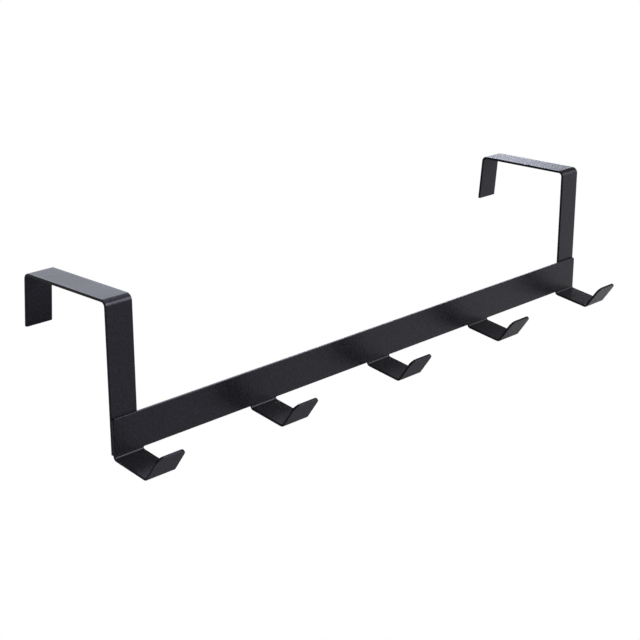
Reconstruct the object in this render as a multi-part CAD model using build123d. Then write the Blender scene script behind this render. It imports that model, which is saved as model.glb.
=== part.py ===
from build123d import *
from math import cos, radians, sin, tan
import os

# Over door hook: a folded rail of hooks, spot welded to two strips that go over a door.
# Millimetres. X runs along the rail, the hooks face -Y, the door is on the +Y side, and +Z is up.
# The origin is on the door's front top edge, half way along the rail: the backs of the front legs
# lie in the plane Y = 0, and the undersides of the bracket tops lie in the plane Z = 0.

# Sheet
RAIL_SHEET = 1.1             # thickness of the rail
BRACKET_SHEET = 1.2          # thickness of the bracket strips
EDGE_ROUND = 0.25            # rounding that deburring and coating leave along every sheet edge

# Rail
RAIL_LENGTH = 302.0
RAIL_HEIGHT = 15.5
RAIL_CORNER = 1.0            # radius of the bar's corners

# Hooks
HOOK_COUNT = 5
HOOK_WIDTH = 14.3
LEDGE_LENGTH = 16.5          # flat length of the ledge, between its two bends
LEDGE_DROOP = 8.0            # degrees that the ledge falls towards the front
ROOT_BEND = 0.8              # inside radius where the ledge leaves the bar
TIP_LENGTH = 12.3            # flat length of the tip, beyond the front bend
TIP_RISE = 55.0              # degrees that the tip stands above level
FRONT_BEND = 1.1             # inside radius between ledge and tip
TIP_CORNER = 3.0             # radius of the tip's two top corners

# Door brackets
BRACKET_WIDTH = 12.6
DOOR_GAP = 49.0              # clear width between front and back leg, along the door's top edge
FRONT_LEG = 61.5             # from the door's top edge down to the rail's lower edge
BACK_LEG = 21.8              # from the door's top edge down to the end of the back leg
BACK_SPLAY = 5.0             # degrees that the back leg stands off from the door
BRACKET_BEND = 1.6           # inside radius of both bends
STRIP_CORNER = 0.4           # radius of the corners at both ends of the strip

# Spot welds: the electrode leaves a shallow dish on the back of the front leg
WELD_COUNT = 2
WELD_DIAMETER = 4.4
WELD_DEPTH = 0.15

# Places that follow from the sizes above
RAIL_FRONT = -BRACKET_SHEET - RAIL_SHEET
RAIL_BOTTOM = -FRONT_LEG
HOOK_PITCH = (RAIL_LENGTH - HOOK_WIDTH) / (HOOK_COUNT - 1)


def section_step(angle, length):
    """Step of a length in the YZ section, towards -Y and so many degrees above level."""
    return Vector(-cos(radians(angle)), sin(radians(angle))) * length


def tangent_run(radius, turn):
    """Length that a bend of a radius takes from each of its two straight runs."""
    return radius * tan(radians(turn / 2))


def folded_strip(corners, bends, sheet, width):
    """Strip folded along the (y, z) corners of its inside face, with its width centred on X = 0.

    The sheet lies to the left of the corners, taken in order.
    """
    with BuildPart() as strip:
        with BuildSketch(Plane.YZ):
            with BuildLine():
                FilletPolyline(*corners, radius=bends)
                offset(amount=sheet, side=Side.LEFT)
            make_face()
        extrude(amount=width / 2, both=True)
    return strip.part


def end_corners(strip, end):
    """The two edges through the sheet at the (y, z) end of a strip."""
    place = Vector(0, end.X, end.Y)
    end_face = min(strip.faces(), key=lambda face: (face.center() - place).length)
    return end_face.edges().filter_by(Axis.X, reverse=True)


def square_edges(solid):
    """Edges where two faces meet squarely, and not those where a flat runs into a bend."""
    normals = {}
    for face in solid.faces():
        for edge in face.edges():
            normals.setdefault(edge, []).append(face.normal_at(edge @ 0.5))
    return [edge for edge, (one, other) in normals.items() if abs(one.dot(other)) < 0.5]


def soften(solid, sheet):
    """Round every square edge of a sheet, at most to just under half its thickness."""
    return fillet(square_edges(solid), min(EDGE_ROUND, 0.45 * sheet))


def make_bar():
    """Flat bar of the rail, with rounded corners."""
    bar = Box(RAIL_LENGTH, RAIL_SHEET, RAIL_HEIGHT, align=(Align.CENTER, Align.MIN, Align.MIN))
    bar = fillet(bar.edges().filter_by(Axis.Y), RAIL_CORNER)
    return Pos(0, RAIL_FRONT, RAIL_BOTTOM) * soften(bar, RAIL_SHEET)


def make_hook():
    """One hook: down the bar's face from half its height, out along the ledge and up the tip."""
    root_run = tangent_run(ROOT_BEND, 90 - LEDGE_DROOP)
    front_run = tangent_run(FRONT_BEND, LEDGE_DROOP + TIP_RISE)
    start = Vector(RAIL_FRONT, RAIL_BOTTOM + RAIL_HEIGHT / 2)
    root = Vector(RAIL_FRONT, RAIL_BOTTOM - root_run)
    front = root + section_step(-LEDGE_DROOP, root_run + LEDGE_LENGTH + front_run)
    tip = front + section_step(TIP_RISE, front_run + TIP_LENGTH)
    hook = folded_strip([start, root, front, tip], [ROOT_BEND, FRONT_BEND], RAIL_SHEET, HOOK_WIDTH)
    hook = fillet(end_corners(hook, tip), TIP_CORNER)
    return soften(hook, RAIL_SHEET)


def make_rail():
    """Bar and hooks as the one folded sheet that they are, with the end hooks flush with the bar."""
    hook = make_hook()
    first_hook = (HOOK_WIDTH - RAIL_LENGTH) / 2
    hooks = [Pos(first_hook + place * HOOK_PITCH, 0, 0) * hook for place in range(HOOK_COUNT)]
    return make_bar().fuse(*hooks).clean()


def make_bracket():
    """One door bracket: up the front leg, over the door's edge and down the splayed back leg."""
    foot = Vector(0, -FRONT_LEG)
    front_corner = Vector(0, 0)
    back_corner = Vector(DOOR_GAP, 0)
    heel = back_corner + section_step(-90 - BACK_SPLAY, BACK_LEG)
    bracket = folded_strip(
        [foot, front_corner, back_corner, heel], [BRACKET_BEND] * 2, BRACKET_SHEET, BRACKET_WIDTH
    )
    bracket = fillet(end_corners(bracket, foot) + end_corners(bracket, heel), STRIP_CORNER)
    bracket = soften(bracket, BRACKET_SHEET)
    for weld in range(WELD_COUNT):
        height = RAIL_BOTTOM + RAIL_HEIGHT * (weld + 0.5) / WELD_COUNT
        bracket -= Pos(0, 0, height) * make_weld_dish()
    return bracket


def make_weld_dish():
    """Ball that leaves a dish of the weld's diameter and depth in a face at Y = 0."""
    ball = ((WELD_DIAMETER / 2) ** 2 + WELD_DEPTH**2) / (2 * WELD_DEPTH)
    return Pos(0, ball - WELD_DEPTH, 0) * Sphere(ball)


os.makedirs("parts", exist_ok=True)
bracket = make_bracket()
bracket_offset = (RAIL_LENGTH - BRACKET_WIDTH) / 2
nodes = {
    "hook_rail": make_rail(),
    "left_door_bracket": Pos(-bracket_offset, 0, 0) * bracket,
    "right_door_bracket": Pos(bracket_offset, 0, 0) * bracket,
}
for node, solid in nodes.items():
    export_step(solid, f"parts/{node}.step")
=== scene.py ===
"""Looks of an over door hook: a folded rail of hooks on two door brackets, in black powder coat.

Each sheet is made again as one closed skin of quads around its solid. A flat blank is laid out on
a grid, its rim is rounded, and it is folded along the middle line of its section. Metres
throughout: X runs along the rail, the hooks face -Y, the door is on the +Y side and +Z is up.
"""
from __future__ import annotations

import logging
import math
from dataclasses import dataclass
from enum import Enum
from typing import Callable, Sequence

import bpy
import numpy as np
from mathutils import Matrix, Vector

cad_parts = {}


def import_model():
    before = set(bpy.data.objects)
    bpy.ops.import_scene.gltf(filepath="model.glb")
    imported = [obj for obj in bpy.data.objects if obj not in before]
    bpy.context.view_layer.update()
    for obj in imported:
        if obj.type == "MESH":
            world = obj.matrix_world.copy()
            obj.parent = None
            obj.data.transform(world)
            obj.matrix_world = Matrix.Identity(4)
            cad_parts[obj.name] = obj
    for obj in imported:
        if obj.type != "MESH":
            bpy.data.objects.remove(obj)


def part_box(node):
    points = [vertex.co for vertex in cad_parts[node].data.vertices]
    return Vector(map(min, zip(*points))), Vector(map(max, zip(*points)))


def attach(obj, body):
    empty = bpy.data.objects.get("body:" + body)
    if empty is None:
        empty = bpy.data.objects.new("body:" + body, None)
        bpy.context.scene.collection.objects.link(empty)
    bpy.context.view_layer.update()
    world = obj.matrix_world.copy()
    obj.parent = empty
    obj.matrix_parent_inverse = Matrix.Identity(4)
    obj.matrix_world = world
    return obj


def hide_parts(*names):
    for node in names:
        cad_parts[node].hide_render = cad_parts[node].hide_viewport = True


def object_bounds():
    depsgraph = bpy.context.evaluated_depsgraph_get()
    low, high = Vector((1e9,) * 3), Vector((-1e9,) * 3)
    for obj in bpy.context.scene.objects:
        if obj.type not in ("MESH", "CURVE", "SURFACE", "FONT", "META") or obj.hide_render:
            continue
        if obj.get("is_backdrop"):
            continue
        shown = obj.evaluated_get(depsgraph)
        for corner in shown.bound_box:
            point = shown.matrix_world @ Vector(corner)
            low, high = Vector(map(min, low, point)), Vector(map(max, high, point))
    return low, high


LOG = logging.getLogger("over_door_hook")

# Metres in a millimetre, and pixels along each side of the picture
MM = 0.001
IMAGE_SIZE = 640

# Headings of a section line and the turn of a square fold, in degrees
UP, DOWN = 90.0, -90.0
SQUARE = 90.0

# Directions on a flat blank, towards +X and onward along the section line
RIGHTWARD = np.array([1.0, 0.0])
ONWARD = np.array([0.0, 1.0])

# Factors that turn a direction over from side to side, and from end to end
SIDE_TO_SIDE = np.array([-1.0, 1.0])
END_TO_END = np.array([1.0, -1.0])

# Octaves of each noise in the powder's surface
SKIN_DETAIL = {"Peel": 1.0, "Grit": 2.0, "Cloud": 2.0}

Array = np.ndarray
Relief = Callable[[Array], tuple[Array, Array]]


class RailEnd(Enum):
    """End of the rail that a door bracket is welded to, with the sign of its X."""

    LEFT = -1
    RIGHT = 1


class SeenBy(Enum):
    """Kinds of ray that see the surroundings as they look, by the light path's output."""

    CAMERA = "Is Camera Ray"
    GLOSSY = "Is Glossy Ray"
    TRANSMISSION = "Is Transmission Ray"


# Folded sheet


@dataclass(frozen=True)
class Stock:
    """Sheet that a piece is stamped from.

    Attributes:
        thickness: Thickness of the coated sheet.
        edge_round: Radius along the rim of both broad faces.
    """

    thickness: float
    edge_round: float = 0.25 * MM


@dataclass(frozen=True)
class Bend:
    """A fold to the right of the section line.

    Attributes:
        inside: Inside radius.
        turn: Angle that the sheet turns through, in degrees.
    """

    inside: float
    turn: float


@dataclass(frozen=True)
class Stretch:
    """One straight run or one arc of a section line.

    Attributes:
        begin: Distance along the line where it starts.
        length: Its own length.
        point: (y, z) where it starts.
        heading: Angle of travel where it starts, in radians from +Y towards +Z.
        radius: Radius of the arc, or 0 for a straight run.
    """

    begin: float
    length: float
    point: Array
    heading: float
    radius: float = 0.0

    def at(self, travel: Array) -> tuple[Array, Array]:
        """Points and inside normals after so much travel.

        A run gives point + travel * heading. An arc gives centre - radius * normal, where the
        heading has turned to the right by travel / radius.

        Args:
            travel: Distances from the start of the stretch.

        Returns:
            Two arrays of (y, z), the points and the unit normals to the right of travel.
        """
        turned = travel / self.radius if self.radius else np.zeros_like(travel)
        angle = self.heading - turned
        normal = np.stack([np.sin(angle), -np.cos(angle)], axis=-1)
        if not self.radius:
            ahead = np.array([math.cos(self.heading), math.sin(self.heading)])
            return self.point + travel[:, None] * ahead, normal
        first = np.array([math.sin(self.heading), -math.cos(self.heading)])
        return self.point + self.radius * (first - normal), normal


class SectionLine:
    """Middle line of a folded sheet in the YZ section: straight runs joined by right-hand arcs."""

    def __init__(
        self,
        start: Sequence[float],
        heading: float,
        stock: Stock,
        runs: Sequence[float],
        bends: Sequence[Bend],
    ) -> None:
        """Lay the stretches end to end.

        Args:
            start: (y, z) where the line starts.
            heading: Angle of travel there, in degrees from +Y towards +Z.
            stock: Sheet, whose half thickness lies between the line and the inside face.
            runs: Lengths of the straight runs, one more than there are bends.
            bends: The bends between the runs.
        """
        self.stretches: list[Stretch] = []
        self.bend_spans: list[tuple[float, float]] = []
        point, angle, begin = np.array(start, float), math.radians(heading), 0.0
        for place, run in enumerate(runs):
            steps = [(run, 0.0)]
            if place < len(bends):
                radius = bends[place].inside + stock.thickness / 2
                steps.append((radius * math.radians(bends[place].turn), radius))
            for length, radius in steps:
                stretch = Stretch(begin, length, point, angle, radius)
                self.stretches.append(stretch)
                point = stretch.at(np.array([length]))[0][0]
                if radius:
                    angle -= length / radius
                    self.bend_spans.append((begin, begin + length))
                begin += length
        self.length = begin

    def at(self, distance: Array) -> tuple[Array, Array]:
        """Points and inside normals at distances along the whole line.

        Args:
            distance: Distances from the start, clipped to the line.

        Returns:
            Two arrays of (y, z), the points and the unit normals towards the inside of the bends.
        """
        distance = np.clip(distance, 0.0, self.length)
        points, normals = np.empty(distance.shape + (2,)), np.empty(distance.shape + (2,))
        for stretch in self.stretches:
            here = (distance >= stretch.begin) & (distance <= stretch.begin + stretch.length)
            points[here], normals[here] = stretch.at(distance[here] - stretch.begin)
        return points, normals


@dataclass
class FlatBlank:
    """Grid of a sheet before it is folded, inset from its outline by the rim's radius.

    Attributes:
        points: (n, 2) places, u along X and v along the section line.
        quads: (m, 4) corners of the grid's faces.
        rim: (k,) points along the outline, in order, with the sheet on the left from the inside.
        outward: (k, 2) unit directions out of the outline at those points.
    """

    points: Array
    quads: Array
    rim: Array
    outward: Array


@dataclass
class Skin:
    """Closed mesh of a folded sheet.

    Attributes:
        points: (n, 3) places.
        normals: (n, 3) unit normals of the true surface there.
        quads: (m, 4) faces, pointing outwards.
        edge: (n,) nearness to the sheet's edge, 1 on the rim and fading over the broad faces.
    """

    points: Array
    normals: Array
    quads: Array
    edge: Array


def grid_quads(places: Array) -> Array:
    """Quads of a grid of point numbers, each cell turning from its row to the next, then along."""
    cells = [places[:-1, :-1], places[1:, :-1], places[1:, 1:], places[:-1, 1:]]
    return np.stack(cells, axis=-1).reshape(-1, 4)


def even_steps(begin: float, end: float, pitch: float) -> Array:
    """Evenly spaced values from begin to end, about a pitch apart, with both ends."""
    return np.linspace(begin, end, max(2, 1 + math.ceil(abs(end - begin) / pitch)))


def joined_steps(*rows: Array) -> Array:
    """Rows of values laid end to end, each starting on the last value of the one before."""
    return np.concatenate([rows[0]] + [row[1:] for row in rows[1:]])


@dataclass(frozen=True)
class FoldedSheet:
    """Rule that folds a flat blank and wraps it in a skin of the sheet's thickness.

    Attributes:
        stock: Sheet that it is made of.
        line: Middle line of its section.
        rim_steps: Faces round each of the rim's two roundings.
        edge_fade: Distance over which the edge attribute fades on the broad faces.
    """

    stock: Stock
    line: SectionLine
    rim_steps: int = 5
    edge_fade: float = 0.7 * MM

    def fold(self, flat: Array, height: Array, tilt: Array) -> tuple[Array, Array]:
        """Fold places of the blank, and the normals there.

        X is u, and (y, z) is the line at v plus height times its normal. A normal is carried as its
        three parts along u, along the line and along the line's own normal, and turned with the
        sheet.

        Args:
            flat: (n, 2) places on the blank.
            height: (n,) heights above the middle of the sheet, towards the inside of the bends.
            tilt: (n, 3) parts of the normals, of any length.

        Returns:
            (n, 3) places and (n, 3) unit normals.
        """
        points, normals = self.line.at(flat[:, 1])
        ahead = np.column_stack([-normals[:, 1], normals[:, 0]])
        places = np.column_stack([flat[:, 0], points + height[:, None] * normals])
        turned = np.column_stack([tilt[:, 0], tilt[:, 1:2] * ahead + tilt[:, 2:] * normals])
        return places, turned / np.linalg.norm(turned, axis=1, keepdims=True)

    def rim_profile(self) -> tuple[Array, Array, Array]:
        """Section of the rim: a quarter round, the flat of the cut, and a quarter round back.

        Returns:
            Distances out from the inset line, heights above the middle of the sheet, and the angles
            from the inside face's normal to the normals there.
        """
        half, radius = self.stock.thickness / 2, self.stock.edge_round
        angle = np.linspace(0.0, math.pi / 2, self.rim_steps + 1)
        out = np.concatenate([radius * np.sin(angle), radius * np.cos(angle)])
        rise = half - radius
        height = np.concatenate([rise + radius * np.cos(angle), -rise - radius * np.sin(angle)])
        return out, height, np.concatenate([angle, angle + math.pi / 2])

    def skin(self, blank: FlatBlank, relief: Relief | None = None) -> Skin:
        """Wrap a blank: inside face, outside face turned over, and rim quads between the two.

        Args:
            blank: Flat grid.
            relief: Depth by which the inside face lies below its plane and its slopes along u and
                v, as functions of (n, 2) places.

        Returns:
            The closed skin.
        """
        count, rim_count = len(blank.points), len(blank.rim)
        half = self.stock.thickness / 2
        depth, slope = np.zeros(count), np.zeros((count, 2))
        if relief:
            depth, slope = relief(blank.points)
        straight = np.tile([0.0, 0.0, 1.0], (count, 1))
        dished = straight + np.column_stack([slope, np.zeros(count)])
        inside = self.fold(blank.points, half - depth, dished)
        outside = self.fold(blank.points, np.full(count, -half), -straight)
        out, height, lean = (profile[1:-1] for profile in self.rim_profile())
        flat = blank.points[blank.rim][None] + out[:, None, None] * blank.outward[None]
        tilt = np.concatenate([
            np.sin(lean)[:, None, None] * blank.outward[None],
            np.broadcast_to(np.cos(lean)[:, None, None], (len(lean), rim_count, 1)),
        ], axis=-1)
        rim = self.fold(flat.reshape(-1, 2), np.repeat(height, rim_count), tilt.reshape(-1, 3))
        rim_places = np.vstack([
            blank.rim,
            2 * count + np.arange(len(rim[0])).reshape(len(out), rim_count),
            count + blank.rim,
        ])
        rim_places = np.column_stack([rim_places, rim_places[:, 0]])
        quads = np.vstack([blank.quads, count + blank.quads[:, ::-1], grid_quads(rim_places)])
        edge = self.edge_nearness(blank)
        points, normals = (np.vstack(parts) for parts in zip(inside, outside, rim))
        return Skin(points, normals, quads, np.concatenate([edge, edge, np.ones(len(rim[0]))]))

    def edge_nearness(self, blank: FlatBlank) -> Array:
        """Nearness of the grid's points to the outline: exp of minus the square of distance / fade.

        Args:
            blank: Flat grid.

        Returns:
            (n,) values, 1 on the outline.
        """
        points = blank.points.astype(np.float32)
        apart = points[:, None] - points[blank.rim][None]
        nearest = np.sqrt((apart**2).sum(axis=-1).min(axis=1))
        return np.exp(-((nearest / self.edge_fade) ** 2))


# Pieces


@dataclass(frozen=True)
class Corner:
    """Quarter arc at a corner of an outline, inset by the rim's radius.

    Attributes:
        reach: Distances of the arc's points from the end of the sheet.
        drawn_in: Distances of the same points from its side.
        angle: Angles from the end's direction to the side's.
    """

    reach: Array
    drawn_in: Array
    angle: Array

    @classmethod
    def convex(cls, radius: float, inset: float, steps: int) -> "Corner":
        """Corner of the sheet, with its centre inside it.

        With arc = radius - inset, reach is radius - arc * cos(angle), and drawn_in is
        radius - arc * sin(angle).

        Args:
            radius: Radius of the sheet's own outline.
            inset: Distance of the arc inside that outline.
            steps: Number of faces along the arc.

        Returns:
            The corner.
        """
        angle = np.linspace(0.0, math.pi / 2, steps + 1)
        arc = radius - inset
        return cls(radius - arc * np.cos(angle), radius - arc * np.sin(angle), angle)

    @classmethod
    def concave(cls, radius: float, inset: float, steps: int) -> "Corner":
        """Inner corner between a bar and a hook, with its centre outside the sheet.

        With arc = radius + inset, reach is radius - arc * cos(angle), and drawn_in is
        arc * sin(angle) - radius.

        Args:
            radius: Radius of the sheet's own outline.
            inset: Distance of the arc inside that outline.
            steps: Number of faces along the arc.

        Returns:
            The corner.
        """
        angle = np.linspace(0.0, math.pi / 2, steps + 1)
        arc = radius + inset
        return cls(radius - arc * np.cos(angle), arc * np.sin(angle) - radius, angle)


@dataclass
class Piece:
    """A finished sheet-metal piece that stands for one node of the frame.

    Attributes:
        node: Node that it replaces.
        skin: Its closed mesh.
        coat: Material of its coat.
    """

    node: str
    skin: Skin
    coat: bpy.types.Material

    def add(self) -> None:
        """Put the mesh into the scene, on its body, in place of its node."""
        mesh = bpy.data.meshes.new(f"coated_{self.node}")
        mesh.from_pydata(self.skin.points.tolist(), [], self.skin.quads.tolist())
        mesh.polygons.foreach_set("use_smooth", np.ones(len(mesh.polygons), bool))
        edge = mesh.attributes.new("sheet_edge", "FLOAT", "POINT")
        edge.data.foreach_set("value", self.skin.edge.astype(np.float32))
        mesh.materials.append(self.coat)
        mesh.validate()
        mesh.update()
        mesh.normals_split_custom_set_from_vertices(self.skin.normals.tolist())
        piece = bpy.data.objects.new(f"coated_{self.node}", mesh)
        bpy.context.scene.collection.objects.link(piece)
        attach(piece, "root")
        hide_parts(self.node)
        LOG.info("%s: %d quads", piece.name, len(self.skin.quads))


@dataclass
class HookRail:
    """Flat bar with hooks folded forward out of its lower edge, all one sheet.

    Attributes:
        length: Length of the bar.
        top: Height of the bar's top edge.
        back: Y of the bar's back face.
        stock: Sheet that it is made of.
        height: Height of the bar.
        corner: Radius of the bar's top corners.
        hook_count: Number of hooks.
        hook_width: Width of each hook.
        ledge: Flat length of a ledge, between its bends.
        ledge_droop: Degrees that a ledge falls towards the front.
        root_bend: Inside radius where a ledge leaves the bar.
        root_corner: Radius of the inner corners between the bar and a hook.
        tip: Flat length of a tip, beyond the front bend.
        tip_rise: Degrees that a tip stands above level.
        front_bend: Inside radius between ledge and tip.
        tip_corner: Radius of a tip's two top corners.
        pitch: Distance between rows on the flats.
        bar_pitch: Distance between the bar's columns from hook to hook.
        fold_pitch: Distance between rows in the bends.
        lowest_row: Height of the bar's lowest row of faces.
        hook_shares: Shares of a hook's width at which its columns lie, closer near its sides.
        root_steps: Faces along an inner corner.
        tip_steps: Faces along a tip's corner.
        corner_steps: Faces along a corner of the bar.
        corner_ease: Length, in radii, over which the columns beside a corner of the bar are eased.
    """

    length: float
    top: float
    back: float
    stock: Stock = Stock(1.1 * MM)
    height: float = 15.5 * MM
    corner: float = 1.0 * MM
    hook_count: int = 5
    hook_width: float = 14.3 * MM
    ledge: float = 16.5 * MM
    ledge_droop: float = 8.0
    root_bend: float = 0.8 * MM
    root_corner: float = 0.3 * MM
    tip: float = 12.3 * MM
    tip_rise: float = 55.0
    front_bend: float = 1.1 * MM
    tip_corner: float = 3.0 * MM
    pitch: float = 2.0 * MM
    bar_pitch: float = 4.0 * MM
    fold_pitch: float = 0.2 * MM
    lowest_row: float = 0.4 * MM
    hook_shares: tuple[float, ...] = (
        0.0, 0.03, 0.1, 0.2, 0.3, 0.4, 0.5, 0.6, 0.7, 0.8, 0.9, 0.97, 1.0
    )
    root_steps: int = 4
    tip_steps: int = 12
    corner_steps: int = 6
    corner_ease: float = 4.0

    @classmethod
    def from_frame(cls) -> "HookRail":
        """Rail of the length and place that its solid has."""
        low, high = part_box("hook_rail")
        return cls(length=high.x - low.x, top=high.z, back=high.y)

    @property
    def root_arc(self) -> Corner:
        """Inner corner beside a hook."""
        return Corner.concave(self.root_corner, self.stock.edge_round, self.root_steps)

    @property
    def tip_arc(self) -> Corner:
        """Corner of a tip."""
        return Corner.convex(self.tip_corner, self.stock.edge_round, self.tip_steps)

    @property
    def bar_arc(self) -> Corner:
        """Top corner of the bar."""
        return Corner.convex(self.corner, self.stock.edge_round, self.corner_steps)

    def section(self) -> SectionLine:
        """Middle line: down the bar, out along the drooping ledge and up the tip.

        Returns:
            The line.
        """
        root = Bend(self.root_bend, SQUARE - self.ledge_droop)
        front = Bend(self.front_bend, self.ledge_droop + self.tip_rise)
        start = (self.back - self.stock.thickness / 2, self.top)
        runs = [self.height, self.ledge, self.tip]
        return SectionLine(start, DOWN, self.stock, runs, [root, front])

    def hook_rows(self, line: SectionLine) -> Array:
        """Distances along the line at which a hook's rows lie.

        Args:
            line: Section of the rail.

        Returns:
            The distances, from the bar's lower inset to the tip's.
        """
        (_, root_end), (front_begin, front_end) = line.bend_spans
        straight_end = line.length - self.tip_corner
        return joined_steps(
            self.height + self.root_arc.reach,
            even_steps(self.height + self.root_corner, root_end, self.fold_pitch),
            even_steps(root_end, front_begin, self.pitch),
            even_steps(front_begin, front_end, self.fold_pitch),
            even_steps(front_end, straight_end, self.pitch),
            line.length - self.tip_arc.reach[::-1],
        )

    def side(self, rows: int, flush: bool) -> tuple[Array, Array]:
        """One side of a hook, row by row.

        Args:
            rows: Number of rows.
            flush: Whether the side runs straight on from the end of the bar, with no inner corner.

        Returns:
            Distances that the side is drawn in, and (rows, 2) outward directions of a right side.
        """
        root, end = self.root_arc, self.tip_arc
        drawn_in = np.full(rows, self.stock.edge_round)
        outward = np.tile(RIGHTWARD, (rows, 1))
        if not flush:
            drawn_in[: len(root.angle)] = root.drawn_in
            outward[: len(root.angle)] = np.column_stack([np.sin(root.angle), np.cos(root.angle)])
        drawn_in[-len(end.angle):] = end.drawn_in[::-1]
        outward[-len(end.angle):] = np.column_stack([np.sin(end.angle), np.cos(end.angle)])[::-1]
        return drawn_in, outward

    def sides(self, rows: int, place: int) -> tuple[tuple[Array, Array], tuple[Array, Array]]:
        """Left and right side of one hook, counted from the left, flush where it ends the bar."""
        return self.side(rows, place == 0), self.side(rows, place == self.hook_count - 1)

    def hook_grids(self, line: SectionLine) -> list[Array]:
        """Grids of the hooks on the blank, each row shared out between the hook's two sides.

        Args:
            line: Section of the rail.

        Returns:
            (rows, columns, 2) places of each hook, from the left.
        """
        v = self.hook_rows(line)
        first = (self.hook_width - self.length) / 2
        grids = []
        for place, centre in enumerate(np.linspace(first, -first, self.hook_count)):
            (left, _), (right, _) = self.sides(len(v), place)
            begin = (centre - self.hook_width / 2 + left)[:, None]
            finish = (centre + self.hook_width / 2 - right)[:, None]
            u = begin + np.array(self.hook_shares) * (finish - begin)
            grids.append(np.stack([u, np.broadcast_to(v[:, None], u.shape)], axis=-1))
        return grids

    def bar_grid(self, hooks: Sequence[Array]) -> tuple[Array, list[Array]]:
        """Grid of the bar, whose lowest row holds the first row of every hook.

        Args:
            hooks: Grids of the hooks.

        Returns:
            (rows, columns, 2) places, and the numbers of the columns that each hook hangs from.
        """
        columns, owned = [], []
        for place, grid in enumerate(hooks):
            owned.append(sum(map(len, columns)) + np.arange(grid.shape[1]))
            columns.append(grid[0, :, 0])
            if place + 1 < len(hooks):
                gap = even_steps(grid[0, -1, 0], hooks[place + 1][0, 0, 0], self.bar_pitch)
                columns.append(gap[1:-1])
        lower = self.height - self.stock.edge_round
        flat = even_steps(self.corner, lower - self.lowest_row, self.pitch)
        v = np.append(joined_steps(self.bar_arc.reach, flat), lower)
        bar = np.stack(np.meshgrid(np.concatenate(columns), v), axis=-1)
        self.round_bar_corners(bar)
        return bar, owned

    def round_bar_corners(self, bar: Array) -> None:
        """Draw the bar's first rows in along its top corners, easing the columns beside them.

        Args:
            bar: (rows, columns, 2) grid, changed in place.
        """
        arc = self.bar_arc
        rows = bar[: len(arc.angle), :, 0]
        shift = (arc.drawn_in - self.stock.edge_round)[:, None]
        reach = self.length / 2 - self.stock.edge_round - np.abs(rows)
        eased = np.clip(1 - reach / (self.corner_ease * self.corner), 0.0, 1.0)
        rows -= np.sign(rows) * shift * eased

    def outline(
        self, bar: Array, hooks: Sequence[Array], owned: Sequence[Array]
    ) -> tuple[Array, Array]:
        """Outline of the blank: down the left end, along the lower side with its hooks, and back.

        Args:
            bar: (rows, columns) point numbers of the bar.
            hooks: (rows, columns) point numbers of each hook.
            owned: Numbers of the bar's columns that each hook hangs from.

        Returns:
            (k,) point numbers and (k, 2) directions out of the outline.
        """
        arc = self.bar_arc
        end = np.tile(RIGHTWARD, (len(bar), 1))
        end[: len(arc.angle)] = np.column_stack([np.sin(arc.angle), -np.cos(arc.angle)])
        rim, outward = [bar[:-1, 0]], [end[:-1] * SIDE_TO_SIDE]
        for place, hook in enumerate(hooks):
            (_, left), (_, right) = self.sides(len(hook), place)
            onward = np.tile(ONWARD, (hook.shape[1] - 1, 1))
            rim += [hook[:-1, 0], hook[-1, :-1], hook[:0:-1, -1]]
            outward += [left[:-1] * SIDE_TO_SIDE, onward, right[:0:-1]]
            if place + 1 < len(hooks):
                between = bar[-1, owned[place][-1]:owned[place + 1][0]]
                rim.append(between)
                outward.append(np.tile(ONWARD, (len(between), 1)))
        rim += [bar[:0:-1, -1], bar[0, :0:-1]]
        outward += [end[:0:-1], np.tile(-ONWARD, (bar.shape[1] - 1, 1))]
        return np.concatenate(rim), np.vstack(outward)

    def blank(self, line: SectionLine) -> FlatBlank:
        """Flat grid of the bar, with a grid for each hook that starts on the bar's lowest row.

        Args:
            line: Section of the rail.

        Returns:
            The blank.
        """
        hooks = self.hook_grids(line)
        bar, owned = self.bar_grid(hooks)
        bar_places = np.arange(bar[..., 0].size).reshape(bar.shape[:2])
        points, hook_places, count = [bar.reshape(-1, 2)], [], bar_places.size
        for grid, columns in zip(hooks, owned):
            fresh = count + np.arange(grid[1:, :, 0].size).reshape(len(grid) - 1, -1)
            count += fresh.size
            points.append(grid[1:].reshape(-1, 2))
            hook_places.append(np.vstack([bar_places[-1, columns], fresh]))
        quads = [grid_quads(places) for places in (bar_places, *hook_places)]
        rim, outward = self.outline(bar_places, hook_places, owned)
        return FlatBlank(np.vstack(points), np.vstack(quads), rim, outward)

    def build(self, coat: bpy.types.Material) -> None:
        """Fold the rail and put it in the scene.

        Args:
            coat: Material of its coat.
        """
        line = self.section()
        skin = FoldedSheet(self.stock, line).skin(self.blank(line))
        Piece("hook_rail", skin, coat).add()


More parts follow.
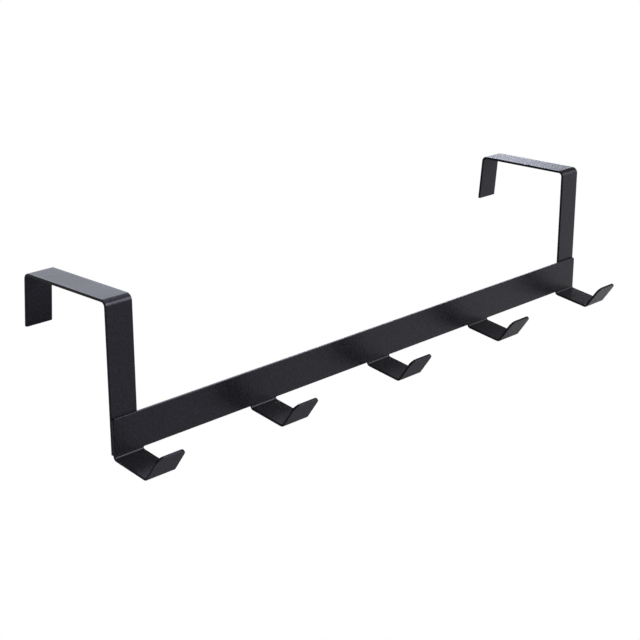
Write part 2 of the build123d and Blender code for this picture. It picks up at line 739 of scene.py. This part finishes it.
@dataclass
class DoorBracket:
    """Strip folded over the top of a door, welded to the back of the rail.

    Attributes:
        end: End of the rail that it is welded to.
        middle: X of its middle.
        width: Width of the strip.
        foot: Height of the front leg's lower end.
        stock: Sheet that it is made of.
        door_gap: Clear width between front and back leg, along the door's top edge.
        back_leg: Length from the door's top edge down to the end of the back leg.
        back_splay: Degrees that the back leg stands off from the door.
        bend: Inside radius of both bends.
        corner: Radius of the corners at both ends of the strip.
        rail_height: Height of the bar that the front leg is welded to.
        weld_count: Number of spot welds.
        weld_diameter: Diameter of the dish that an electrode leaves.
        weld_depth: Depth of the dish.
        pitch: Distance between rows on the flats.
        fold_pitch: Distance between rows in the bends.
        weld_pitch: Distance between rows at the welds, and between columns.
        corner_steps: Faces along a corner.
    """

    end: RailEnd
    middle: float
    width: float
    foot: float
    stock: Stock = Stock(1.2 * MM)
    door_gap: float = 49.0 * MM
    back_leg: float = 21.8 * MM
    back_splay: float = 5.0
    bend: float = 1.6 * MM
    corner: float = 0.4 * MM
    rail_height: float = 15.5 * MM
    weld_count: int = 2
    weld_diameter: float = 4.4 * MM
    weld_depth: float = 0.15 * MM
    pitch: float = 2.0 * MM
    fold_pitch: float = 0.35 * MM
    weld_pitch: float = 0.4 * MM
    corner_steps: int = 6

    @classmethod
    def from_frame(cls, end: RailEnd) -> "DoorBracket":
        """Bracket of the width and place that its solid has."""
        low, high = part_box(f"{end.name.lower()}_door_bracket")
        return cls(end=end, middle=(low.x + high.x) / 2, width=high.x - low.x, foot=low.z)

    def section(self) -> SectionLine:
        """Middle line: up the front leg, over the door and down the splayed back leg.

        A bend takes bend * tan(turn / 2) from both its runs, which is bend itself for a square one.

        Returns:
            The line.
        """
        turn_back = SQUARE - self.back_splay
        front_run = self.bend
        back_run = self.bend * math.tan(math.radians(turn_back / 2))
        top_run = self.door_gap - front_run - back_run
        runs = [-self.foot - front_run, top_run, self.back_leg - back_run]
        bends = [Bend(self.bend, SQUARE), Bend(self.bend, turn_back)]
        start = (-self.stock.thickness / 2, self.foot)
        return SectionLine(start, UP, self.stock, runs, bends)

    def weld_dishes(self, flat: Array) -> tuple[Array, Array]:
        """Depth and slopes of the electrode marks.

        They are caps of a ball: root of (ball squared - distance squared), less the height of the
        cut, and 0 outside. A cap's slope is minus the distance along each axis over that root.

        Args:
            flat: (n, 2) places on the blank.

        Returns:
            (n,) depths and (n, 2) slopes.
        """
        ball = ((self.weld_diameter / 2) ** 2 + self.weld_depth**2) / (2 * self.weld_depth)
        heights = self.rail_height * (np.arange(self.weld_count) + 0.5) / self.weld_count
        nearest = heights[np.abs(flat[:, 1:] - heights).argmin(axis=1)]
        apart = flat - np.column_stack([np.full(len(flat), self.middle), nearest])
        root = np.sqrt(np.maximum(ball**2 - (apart**2).sum(axis=1), (ball - self.weld_depth) ** 2))
        depth = root - (ball - self.weld_depth)
        return depth, np.where(depth[:, None] > 0.0, -apart / root[:, None], 0.0)

    def blank(self, line: SectionLine) -> FlatBlank:
        """Flat grid of the strip, with finer rows at its folds and welds.

        Args:
            line: Section of the bracket.

        Returns:
            The blank, with the outline running up the left side and back down the right.
        """
        inset, half = self.stock.edge_round, self.width / 2
        end = Corner.convex(self.corner, inset, self.corner_steps)
        (front_begin, front_end), (back_begin, back_end) = line.bend_spans
        v = joined_steps(
            end.reach,
            even_steps(self.corner, self.rail_height, self.weld_pitch),
            even_steps(self.rail_height, front_begin, self.pitch),
            even_steps(front_begin, front_end, self.fold_pitch),
            even_steps(front_end, back_begin, self.pitch),
            even_steps(back_begin, back_end, self.fold_pitch),
            even_steps(back_end, line.length - self.corner, self.pitch),
            line.length - end.reach[::-1],
        )
        drawn_in = np.full(len(v), inset)
        outward = np.tile(RIGHTWARD, (len(v), 1))
        corner_out = np.column_stack([np.sin(end.angle), -np.cos(end.angle)])
        drawn_in[: len(end.angle)] = end.drawn_in
        drawn_in[-len(end.angle):] = end.drawn_in[::-1]
        outward[: len(end.angle)] = corner_out
        outward[-len(end.angle):] = corner_out[::-1] * END_TO_END
        shares = even_steps(-1.0, 1.0, self.weld_pitch / half)
        u = self.middle + shares * (half - drawn_in)[:, None]
        places = np.arange(u.size).reshape(u.shape)
        points = np.stack([u, np.broadcast_to(v[:, None], u.shape)], axis=-1).reshape(-1, 2)
        rim = np.concatenate([places[:-1, 0], places[-1, :-1], places[:0:-1, -1], places[0, :0:-1]])
        along = np.tile(ONWARD, (len(shares) - 1, 1))
        sides = [outward[:-1] * SIDE_TO_SIDE, along, outward[:0:-1], -along]
        return FlatBlank(points, grid_quads(places), rim, np.vstack(sides))

    def build(self, coat: bpy.types.Material) -> None:
        """Fold the bracket and put it in the scene.

        Args:
            coat: Material of its coat.
        """
        line = self.section()
        skin = FoldedSheet(self.stock, line).skin(self.blank(line), self.weld_dishes)
        Piece(f"{self.end.name.lower()}_door_bracket", skin, coat).add()


# Finishes


class NodeTree:
    """Short hand for wiring a shader node tree."""

    def __init__(self, tree: bpy.types.NodeTree) -> None:
        """Work on a tree, and empty it first."""
        self.tree = tree
        tree.nodes.clear()

    def add(self, kind: str, **values: object) -> bpy.types.Node:
        """New node.

        Args:
            kind: Blender's name of the node, without ShaderNode.
            values: Attributes of the node.

        Returns:
            The node.
        """
        node = self.tree.nodes.new(kind if kind.startswith("Node") else f"ShaderNode{kind}")
        for name, value in values.items():
            setattr(node, name, value)
        return node

    def feed(self, node: bpy.types.Node, **inputs: object) -> None:
        """Set or link a node's inputs, named by socket with _ for a space.

        Args:
            node: Node whose inputs are fed.
            inputs: A socket to link from, or a value.
        """
        for name, value in inputs.items():
            socket = node.inputs[name.replace("_", " ")]
            if isinstance(value, bpy.types.NodeSocket):
                self.tree.links.new(value, socket)
            else:
                socket.default_value = value

    def math(self, operation: str, *terms: object) -> bpy.types.NodeSocket:
        """Result of a sum on sockets and numbers.

        Args:
            operation: Blender's name of the operation.
            terms: Sockets or numbers, in order.

        Returns:
            The result's socket.
        """
        node = self.add("Math", operation=operation)
        for socket, term in zip(node.inputs, terms):
            if isinstance(term, bpy.types.NodeSocket):
                self.tree.links.new(term, socket)
            else:
                socket.default_value = term
        return node.outputs[0]

    def ramp(
        self,
        value: bpy.types.NodeSocket,
        span: tuple[float, float],
        to: tuple[float, float] = (0.0, 1.0),
    ) -> bpy.types.NodeSocket:
        """Smooth step over a span of a value.

        Args:
            value: Socket of the value.
            span: Where the step begins and ends.
            to: Results at those two.

        Returns:
            The result's socket.
        """
        node = self.add("MapRange", interpolation_type="SMOOTHSTEP")
        self.feed(node, Value=value, From_Min=span[0], From_Max=span[1], To_Min=to[0], To_Max=to[1])
        return node.outputs["Result"]


def new_group(
    name: str, inputs: dict[str, tuple[str, object]], outputs: dict[str, str]
) -> bpy.types.NodeTree:
    """Shader node group with named sockets.

    Args:
        name: Name of the group.
        inputs: Socket kind and default value by socket name.
        outputs: Socket kind by socket name.

    Returns:
        The empty group.
    """
    group = bpy.data.node_groups.new(name, "ShaderNodeTree")
    for socket_name, (kind, value) in inputs.items():
        socket = group.interface.new_socket(socket_name, in_out="INPUT", socket_type=kind)
        if value is not None:
            socket.default_value = value
    for socket_name, kind in outputs.items():
        group.interface.new_socket(socket_name, in_out="OUTPUT", socket_type=kind)
    return group


def powder_skin_group() -> bpy.types.NodeTree:
    """Surface of a baked powder: a soft orange peel with a fine grit on it.

    Returns:
        Group that puts out a height for a bump, its peel alone as a grain from 0 to 1, and a cloud
        that varies slowly over the surface.
    """
    group = new_group(
        "powder_skin",
        {
            "Vector": ("NodeSocketVector", None),
            "Peel Size": ("NodeSocketFloat", 1.0 * MM),
            "Grit Size": ("NodeSocketFloat", 0.3 * MM),
            "Grit Share": ("NodeSocketFloat", 0.4),
            "Cloud Size": ("NodeSocketFloat", 40.0 * MM),
        },
        {"Height": "NodeSocketFloat", "Grain": "NodeSocketFloat", "Cloud": "NodeSocketFloat"},
    )
    tree = NodeTree(group)
    inside, outside = tree.add("NodeGroupInput"), tree.add("NodeGroupOutput")
    values = {}
    for name, detail in SKIN_DETAIL.items():
        noise = tree.add("TexNoise")
        scale = tree.math("DIVIDE", 1.0, inside.outputs[f"{name} Size"])
        tree.feed(noise, Vector=inside.outputs["Vector"], Scale=scale, Detail=detail)
        values[name] = noise.outputs["Fac"]
    grit = tree.math("MULTIPLY", values["Grit"], inside.outputs["Grit Share"])
    height = tree.math("ADD", values["Peel"], grit)
    tree.feed(outside, Height=height, Grain=values["Peel"], Cloud=values["Cloud"])
    return group


@dataclass(frozen=True)
class PowderCoat:
    """Satin black powder coat.

    Attributes:
        name: Name of the material.
        colour: Middle colour of the coat.
        mottle: Share by which the colour is darker and lighter over the grain.
        roughness: Middle roughness.
        roughness_swing: Change of roughness over the surface's clouds.
        edge_gloss: Roughness taken off along the sheet's edges, where the powder is thin.
        grain_span: Grain at which the colour is darkest, and at which it is lightest.
        ior: Refractive index of the binder.
        peel_depth: Depth of the orange peel.
        tint: Colour of the gloss seen straight on.
    """

    name: str
    colour: tuple[float, float, float] = (0.0048, 0.0045, 0.0062)
    mottle: float = 0.7
    roughness: float = 0.34
    roughness_swing: float = 0.05
    edge_gloss: float = 0.06
    grain_span: tuple[float, float] = (0.3, 0.7)
    ior: float = 1.31
    peel_depth: float = 0.05 * MM
    tint: tuple[float, float, float] = (0.76, 0.73, 1.0)

    def material(self, skin: bpy.types.NodeTree) -> bpy.types.Material:
        """Make the material.

        Args:
            skin: Group of the powder's surface.

        Returns:
            The material.
        """
        material = bpy.data.materials.new(self.name)
        material.use_nodes = True
        tree = NodeTree(material.node_tree)
        place = tree.add("TexCoord").outputs["Object"]
        surface = tree.add("Group", node_tree=skin)
        tree.feed(surface, Vector=place)
        smoothest = self.roughness - self.roughness_swing
        swing = 2 * self.roughness_swing
        cloudy = tree.math("MULTIPLY_ADD", surface.outputs["Cloud"], swing, smoothest)
        edge = tree.add("Attribute", attribute_name="sheet_edge").outputs["Fac"]
        roughness = tree.math("SUBTRACT", cloudy, tree.math("MULTIPLY", edge, self.edge_gloss))
        bump = tree.add("Bump")
        tree.feed(bump, Strength=1.0, Distance=self.peel_depth, Height=surface.outputs["Height"])

        shader = tree.add("BsdfPrincipled")
        tree.feed(
            shader,
            Base_Color=self.mottled(tree, surface.outputs["Grain"]),
            Roughness=roughness,
            Normal=bump.outputs["Normal"],
            IOR=self.ior,
            Specular_Tint=(*self.tint, 1.0),
        )
        tree.feed(tree.add("OutputMaterial"), Surface=shader.outputs["BSDF"])
        return material

    def mottled(self, tree: NodeTree, grain: bpy.types.NodeSocket) -> bpy.types.NodeSocket:
        """Colour that runs with the grain, from 1 - mottle to 1 + mottle times the middle colour.

        Args:
            tree: Tree of the material.
            grain: Socket that runs from 0 to 1 over the surface.

        Returns:
            The colour's socket.
        """
        ramp = tree.add("ValToRGB")
        shares = (1.0 - self.mottle, 1.0 + self.mottle)
        for stop, share, place in zip(ramp.color_ramp.elements, shares, self.grain_span):
            stop.color = (*(share * part for part in self.colour), 1.0)
            stop.position = place
        tree.feed(ramp, Fac=grain)
        return ramp.outputs["Color"]


# Studio


@dataclass(frozen=True)
class PhotoCamera:
    """Camera at the photograph's viewpoint, placed from where one point falls in the picture.

    Attributes:
        aim: Point by the bar's back, just under the middle of its lower edge.
        aim_pixel: Where it falls in the picture.
        azimuth: Degrees that the camera stands round to the left of straight in front.
        elevation: Degrees that it looks down.
        roll: Degrees that it is turned about its own axis.
        distance: Depth of the aim point in front of it.
        focal_pixels: Focal length in pixels of the picture.
        clip: Nearest and farthest depth that it draws.
    """

    aim: tuple[float, float, float] = (0.0, -1.2 * MM, -62.0 * MM)
    aim_pixel: tuple[float, float] = (377.14, 358.85)
    azimuth: float = 45.90
    elevation: float = 18.92
    roll: float = -0.01
    distance: float = 668.36 * MM
    focal_pixels: float = 1477.1
    clip: tuple[float, float] = (0.01, 100.0)

    def add(self) -> None:
        """Make the camera and give it to the scene."""
        azimuth, elevation = math.radians(self.azimuth), math.radians(self.elevation)
        roll = math.radians(self.roll)
        level = math.cos(elevation)
        back = Vector((-math.sin(azimuth) * level, -math.cos(azimuth) * level, math.sin(elevation)))
        right = Vector((0, 0, 1)).cross(back).normalized()
        up = back.cross(right)
        across = math.cos(roll) * right + math.sin(roll) * up
        upward = math.cos(roll) * up - math.sin(roll) * right
        middle = IMAGE_SIZE / 2
        offset_x = (self.aim_pixel[0] - middle) / self.focal_pixels * self.distance
        offset_y = (middle - self.aim_pixel[1]) / self.focal_pixels * self.distance
        place = Vector(self.aim) - offset_x * across - offset_y * upward + self.distance * back

        data = bpy.data.cameras.new("photo_camera")
        data.sensor_fit = "HORIZONTAL"
        data.lens = self.focal_pixels * data.sensor_width / IMAGE_SIZE
        data.clip_start, data.clip_end = self.clip
        camera = bpy.data.objects.new("photo_camera", data)
        turn = Matrix((across, upward, back)).transposed().to_4x4()
        camera.matrix_world = Matrix.Translation(place) @ turn
        bpy.context.scene.collection.objects.link(camera)
        bpy.context.scene.camera = camera


@dataclass(frozen=True)
class Softbox:
    """Large soft lamp, turned towards the object.

    Attributes:
        name: Name of the lamp.
        place: Where its middle hangs.
        width: Length of its level sides.
        height: Length of its other sides.
        power: Power in watts.
        colour: Colour of its light.
    """

    name: str
    place: tuple[float, float, float]
    width: float
    height: float
    power: float
    colour: tuple[float, float, float] = (1.0, 1.0, 1.0)

    def add(self) -> None:
        """Hang the lamp."""
        data = bpy.data.lights.new(self.name, "AREA")
        data.shape = "RECTANGLE"
        data.size, data.size_y = self.width, self.height
        data.energy, data.color = self.power, self.colour
        lamp = bpy.data.objects.new(self.name, data)
        lamp.location = self.place
        lamp.rotation_euler = Vector(self.place).to_track_quat("Z", "Y").to_euler()
        bpy.context.scene.collection.objects.link(lamp)


@dataclass(frozen=True)
class Floor:
    """Round pale floor, about a door's height below the object, which fades out towards its edge.

    Attributes:
        colour: Colour of the floor.
        drop: Distance from the object's lowest point down to it.
        solid: Radius within which it hides what is behind it.
        radius: Radius at which it has faded out.
        pitch: Distance between the points of its grid.
    """

    colour: tuple[float, float, float] = (0.60, 0.60, 0.65)
    drop: float = 2.1
    solid: float = 2.9
    radius: float = 3.25
    pitch: float = 0.1

    def add(self, lowest: float) -> None:
        """Lay the floor, which fades as 3 s^2 - 2 s^3 of the share s that is left to its edge.

        Args:
            lowest: Height of the object's lowest point.
        """
        steps = even_steps(-self.radius, self.radius, self.pitch)
        x, y = np.meshgrid(steps, steps)
        share = np.clip((self.radius - np.hypot(x, y)) / (self.radius - self.solid), 0.0, 1.0)
        fade = share**2 * (3.0 - 2.0 * share)
        points = np.stack([x, y, np.full(x.shape, lowest - self.drop)], axis=-1).reshape(-1, 3)
        quads = grid_quads(np.arange(x.size).reshape(x.shape))[:, ::-1]
        mesh = bpy.data.meshes.new("floor")
        mesh.from_pydata(points.tolist(), [], quads.tolist())
        mesh.attributes.new("floor_fade", "FLOAT", "POINT").data.foreach_set("value", fade.ravel())
        mesh.materials.append(self.material())
        floor = bpy.data.objects.new("floor", mesh)
        bpy.context.scene.collection.objects.link(floor)
        floor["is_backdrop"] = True

    def material(self) -> bpy.types.Material:
        """Matt paint that the fade makes clear.

        Returns:
            The material.
        """
        material = bpy.data.materials.new("pale_floor")
        material.use_nodes = True
        tree = NodeTree(material.node_tree)
        fade = tree.add("Attribute", attribute_name="floor_fade").outputs["Fac"]
        shader = tree.add("BsdfPrincipled")
        tree.feed(shader, Base_Color=(*self.colour, 1.0), Roughness=1.0, Specular_IOR_Level=0.0)
        tree.feed(shader, Alpha=fade)
        tree.feed(tree.add("OutputMaterial"), Surface=shader.outputs["BSDF"])
        return material


@dataclass(frozen=True)
class Studio:
    """Plain white studio with soft lamps, darker to the left and high on the right.

    Attributes:
        floor: The floor.
        lamps: The lamps.
        sky: Strength of the surroundings on matt surfaces.
        left_strength: Strength of the surroundings to the left.
        left_span: X of a direction where the left begins to lighten, and where it is white.
        right_strength: Strength of the surroundings high on the right.
        right_span: X of a direction where the right begins to darken, and where it is darkest.
        right_rise: Z of a direction where the right begins to darken, and where it is darkest.
    """

    floor: Floor = Floor()
    lamps: tuple[Softbox, ...] = (
        Softbox("key_softbox", (0.66, -0.93, 0.50), 0.5, 0.6, 14.0, (1.0, 0.96, 0.84)),
        Softbox("back_softbox", (0.75, 1.07, 0.73), 0.62, 1.09, 3.3, (0.76, 0.82, 1.0)),
        Softbox("back_strip", (1.13, 0.96, 0.26), 0.48, 0.24, 2.0, (0.80, 0.85, 1.0)),
        Softbox("top_softbox", (0.75, 0.60, 1.02), 0.44, 0.44, 0.9, (0.80, 0.85, 1.0)),
        Softbox("high_softbox", (0.57, -0.17, 1.06), 0.55, 0.35, 1.6, (0.85, 0.9, 1.0)),
        Softbox("side_softbox", (0.95, -0.48, 0.40), 0.35, 0.3, 1.0, (1.0, 0.98, 0.95)),
    )
    sky: float = 0.45
    left_strength: float = 0.4
    left_span: tuple[float, float] = (-0.55, -0.25)
    right_strength: float = 0.1
    right_span: tuple[float, float] = (0.62, 0.8)
    right_rise: tuple[float, float] = (0.12, 0.28)

    def add(self, lowest: float) -> None:
        """Make the floor, the lamps and the surroundings.

        Args:
            lowest: Height of the object's lowest point.
        """
        self.floor.add(lowest)
        for lamp in self.lamps:
            lamp.add()
        self.add_surroundings()
        bpy.context.scene.view_settings.view_transform = "Standard"

    def add_surroundings(self) -> None:
        """Surroundings as the camera and gloss see them, and one even strength on matt surfaces."""
        world = bpy.data.worlds.new("white_studio")
        world.use_nodes = True
        tree = NodeTree(world.node_tree)
        path = tree.add("LightPath")
        seen = path.outputs[SeenBy.CAMERA.value]
        for ray in (SeenBy.GLOSSY, SeenBy.TRANSMISSION):
            seen = tree.math("MAXIMUM", seen, path.outputs[ray.value])
        look = tree.add("SeparateXYZ")
        tree.feed(look, Vector=tree.add("TexCoord").outputs["Generated"])
        x, z = look.outputs["X"], look.outputs["Z"]
        left = tree.ramp(x, self.left_span, (self.left_strength, 1.0))
        far_right, high = tree.ramp(x, self.right_span), tree.ramp(z, self.right_rise)
        high_right = tree.math("MULTIPLY", far_right, high)
        right = tree.math("MULTIPLY_ADD", high_right, self.right_strength - 1.0, 1.0)
        room = tree.math("MULTIPLY", left, right)
        on_matt = tree.math("MULTIPLY", tree.math("SUBTRACT", 1.0, seen), self.sky)
        strength = tree.math("MULTIPLY_ADD", seen, room, on_matt)
        backdrop = tree.add("Background")
        tree.feed(backdrop, Color=(1.0, 1.0, 1.0, 1.0), Strength=strength)
        tree.feed(tree.add("OutputWorld"), Surface=backdrop.outputs["Background"])
        bpy.context.scene.world = world


def corner_lists() -> list[list[float]]:
    """Lowest and highest corner of what is shown, as plain lists."""
    return [list(corner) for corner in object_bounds()]


def main() -> None:
    """Load the frame, dress its pieces and set up the studio."""
    logging.basicConfig(level=logging.INFO, format="%(name)s: %(message)s")
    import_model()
    cad_box = corner_lists()
    skin = powder_skin_group()
    HookRail.from_frame().build(PowderCoat("rail_powder_coat").material(skin))
    bracket_coat = PowderCoat("bracket_powder_coat").material(skin)
    for end in RailEnd:
        DoorBracket.from_frame(end).build(bracket_coat)
    PhotoCamera().add()
    Studio().add(lowest=cad_box[0][2])


if __name__ == "__main__":
    main()
